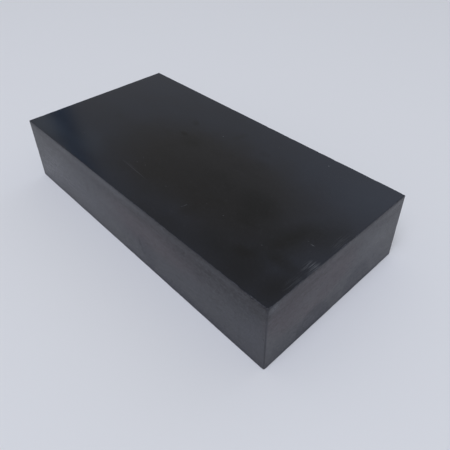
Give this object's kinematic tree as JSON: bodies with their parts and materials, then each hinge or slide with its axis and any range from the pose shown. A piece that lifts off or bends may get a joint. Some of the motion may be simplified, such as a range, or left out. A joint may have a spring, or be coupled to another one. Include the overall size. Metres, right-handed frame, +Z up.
{
  "type": "granite slab",
  "caption": "Thick flat block of near-black stone with a honed top face, laid on a bench to back leather while it is tooled, stamped or punched.",
  "frame": {"origin": "middle of the underside, the flat face that the slab rests on", "axes": "+X along the length, +Y across the width, +Z up, out of the working face"},
  "size_m": [0.3, 0.15, 0.0615],
  "materials": {
    "black_granite": "honed smooth on the working face, fine sawn matt grey on the sides and underside"
  },
  "bodies": {
    "root": {"granite_slab": "black_granite"}
  },
  "joints": []
}
